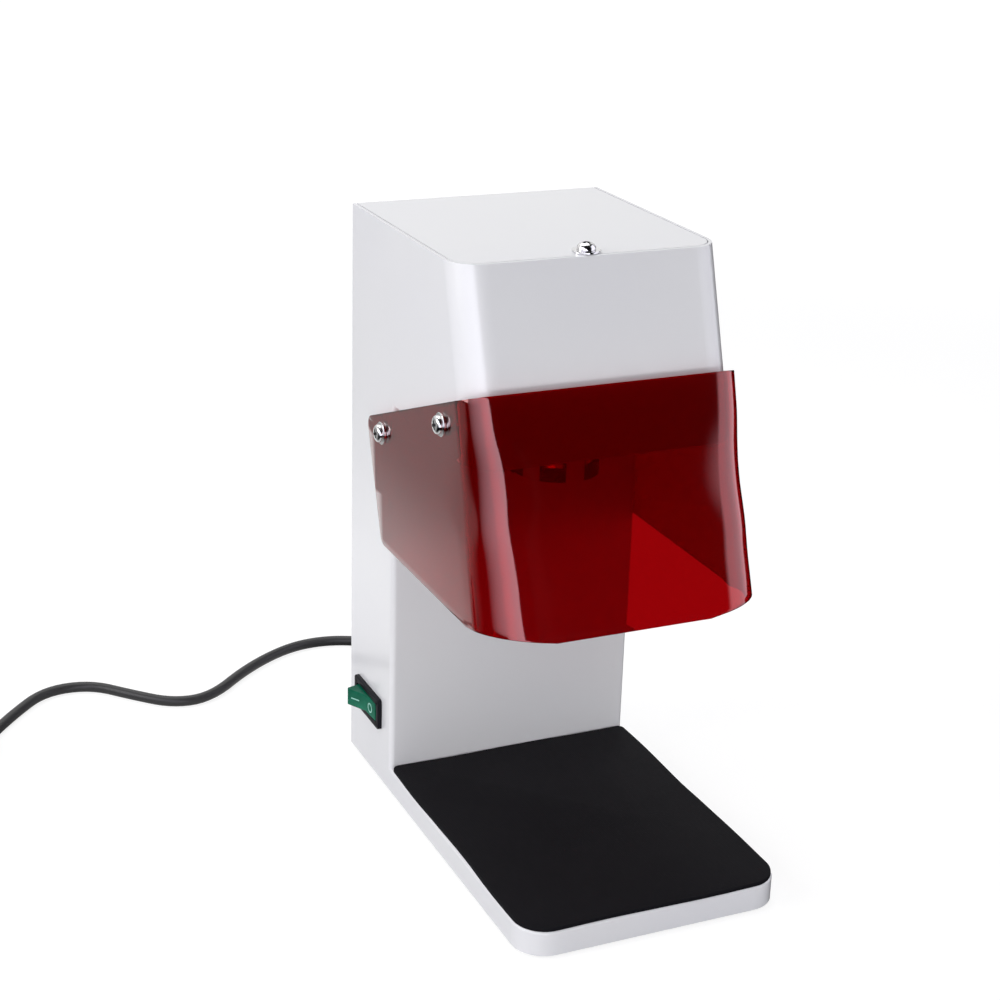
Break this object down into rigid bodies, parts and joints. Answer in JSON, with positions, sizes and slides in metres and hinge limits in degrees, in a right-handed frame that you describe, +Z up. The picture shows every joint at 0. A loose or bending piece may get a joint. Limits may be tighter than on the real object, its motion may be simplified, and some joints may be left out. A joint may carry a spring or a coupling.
{
  "type": "dental lab light curing unit",
  "caption": "Benchtop light curing unit: a C-shaped white cabinet with a black work mat on its tray, a lamp in its head, a bent red see-through shield and a mains lead.",
  "frame": {"origin": "on the bench, under the middle of the cabinet, lead left out", "axes": "+Z up, -Y towards the user, +X to the user's right"},
  "size_m": [0.3684, 0.3163, 0.27],
  "materials": {
    "white_paint": "gloss powder coat",
    "dark_rubber": "matt ribless rubber",
    "red_acrylic": "polished see-through acrylic",
    "bright_steel": "nickel plated",
    "zinc_steel": "zinc plated",
    "black_plastic": "fine spark texture",
    "green_plastic": "tinted clear, gloss",
    "brass_blade": "plain",
    "lead_sheath": "smooth soft sheath",
    "lamp_glass": "coated glass",
    "white_ceramic": "unglazed ceramic",
    "iron_core": "varnished laminations",
    "coil_tape": "wound tape",
    "clear_block": "natural nylon",
    "wire_skin": "pvc skin",
    "alu_sheet": "plain sheet"
  },
  "bodies": {
    "cabinet": {"main_shell": "white_paint", "top_lid": "white_paint", "lid_washer": "bright_steel", "lid_screw": "bright_steel", "rear_cover": "white_paint", "rear_cover_screws": "bright_steel", "base_plate": "zinc_steel", "rubber_feet": "dark_rubber", "foot_screws": "zinc_steel", "work_mat": "dark_rubber", "light_shield": "red_acrylic", "shield_washers": "bright_steel", "shield_screws": "bright_steel", "shield_nuts": "zinc_steel", "lamp_plate": "white_paint", "lamp_plate_screws": "zinc_steel", "lamp_shroud": "alu_sheet", "shroud_screws": "zinc_steel", "lamp_reflector": "lamp_glass", "lamp_capsule": "lamp_glass", "lamp_socket": "white_ceramic", "lamp_bracket": "zinc_steel", "bracket_screws": "zinc_steel", "thermal_cutout": "black_plastic", "fan_frame": "black_plastic", "fan_stator": "coil_tape", "fan_screws": "bright_steel", "fan_nuts": "zinc_steel", "transformer_shelf": "zinc_steel", "transformer_core": "iron_core", "transformer_winding": "coil_tape", "transformer_clamp": "zinc_steel", "clamp_screws": "zinc_steel", "clamp_nuts": "zinc_steel", "terminal_block": "clear_block", "terminal_screws": "brass_blade", "mains_wires": "wire_skin", "primary_wires": "wire_skin", "lamp_wires": "wire_skin", "fan_wires": "wire_skin", "switch_body": "black_plastic", "switch_tabs": "brass_blade", "strain_relief": "lead_sheath", "cord": "lead_sheath", "cord_coil": "lead_sheath", "plug_body": "black_plastic", "plug_pins": "bright_steel"},
    "rocker": {"switch_rocker": "green_plastic"},
    "fan": {"fan_rotor": "black_plastic"}
  },
  "joints": [
    {"name": "switch_rock", "type": "hinge", "parent": "cabinet", "child": "rocker", "pos_m": [-0.0585, 0.0761, 0.0346], "axis": [0, 0, 1], "range_deg": [-32, 0]},
    {"name": "fan_spin", "type": "hinge", "parent": "cabinet", "child": "fan", "pos_m": [0, 0.09, 0.223], "axis": [0, 1, 0], "continuous": true}
  ]
}
